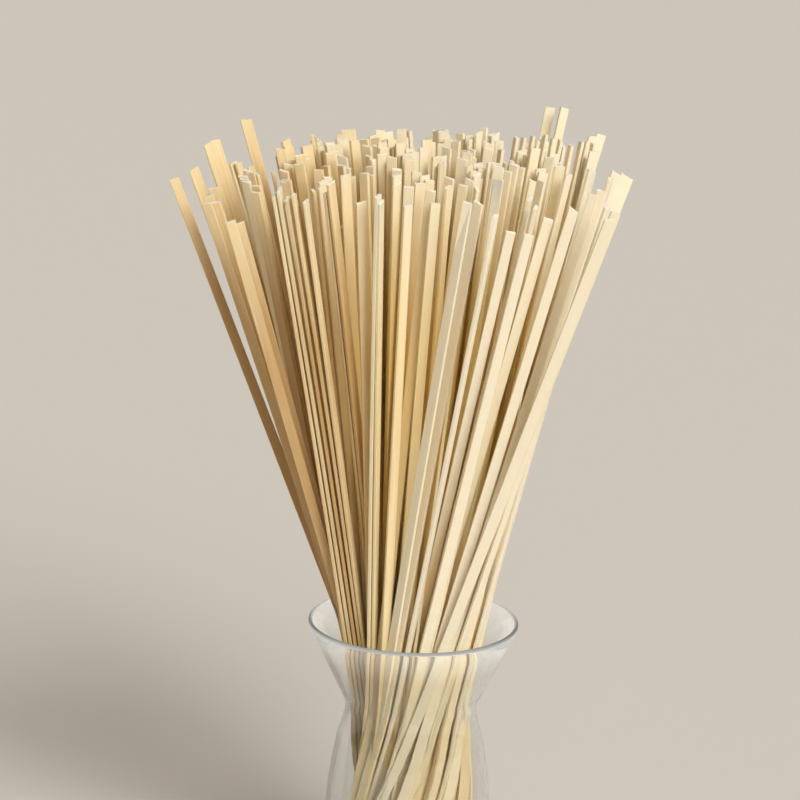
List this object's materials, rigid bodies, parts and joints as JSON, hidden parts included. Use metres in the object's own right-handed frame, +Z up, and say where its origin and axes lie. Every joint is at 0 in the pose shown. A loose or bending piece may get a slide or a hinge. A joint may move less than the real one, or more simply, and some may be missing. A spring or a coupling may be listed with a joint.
{
  "type": "bundle of dried wheat noodles in a glass",
  "caption": "Bundle of flat dried wheat noodles standing upright and fanned out in a small clear waisted glass with a flared rim.",
  "frame": {"origin": "centre of the underside of the glass's foot", "axes": "+Z up along the glass's axis; the side that the picture shows faces -Y"},
  "size_m": [0.1377, 0.1096, 0.2482],
  "materials": {
    "clear_glass": "polished clear",
    "dried_noodle": "matt, slightly waxy, cream"
  },
  "bodies": {
    "root": {"glass": "clear_glass", "noodles": "dried_noodle"}
  },
  "joints": []
}
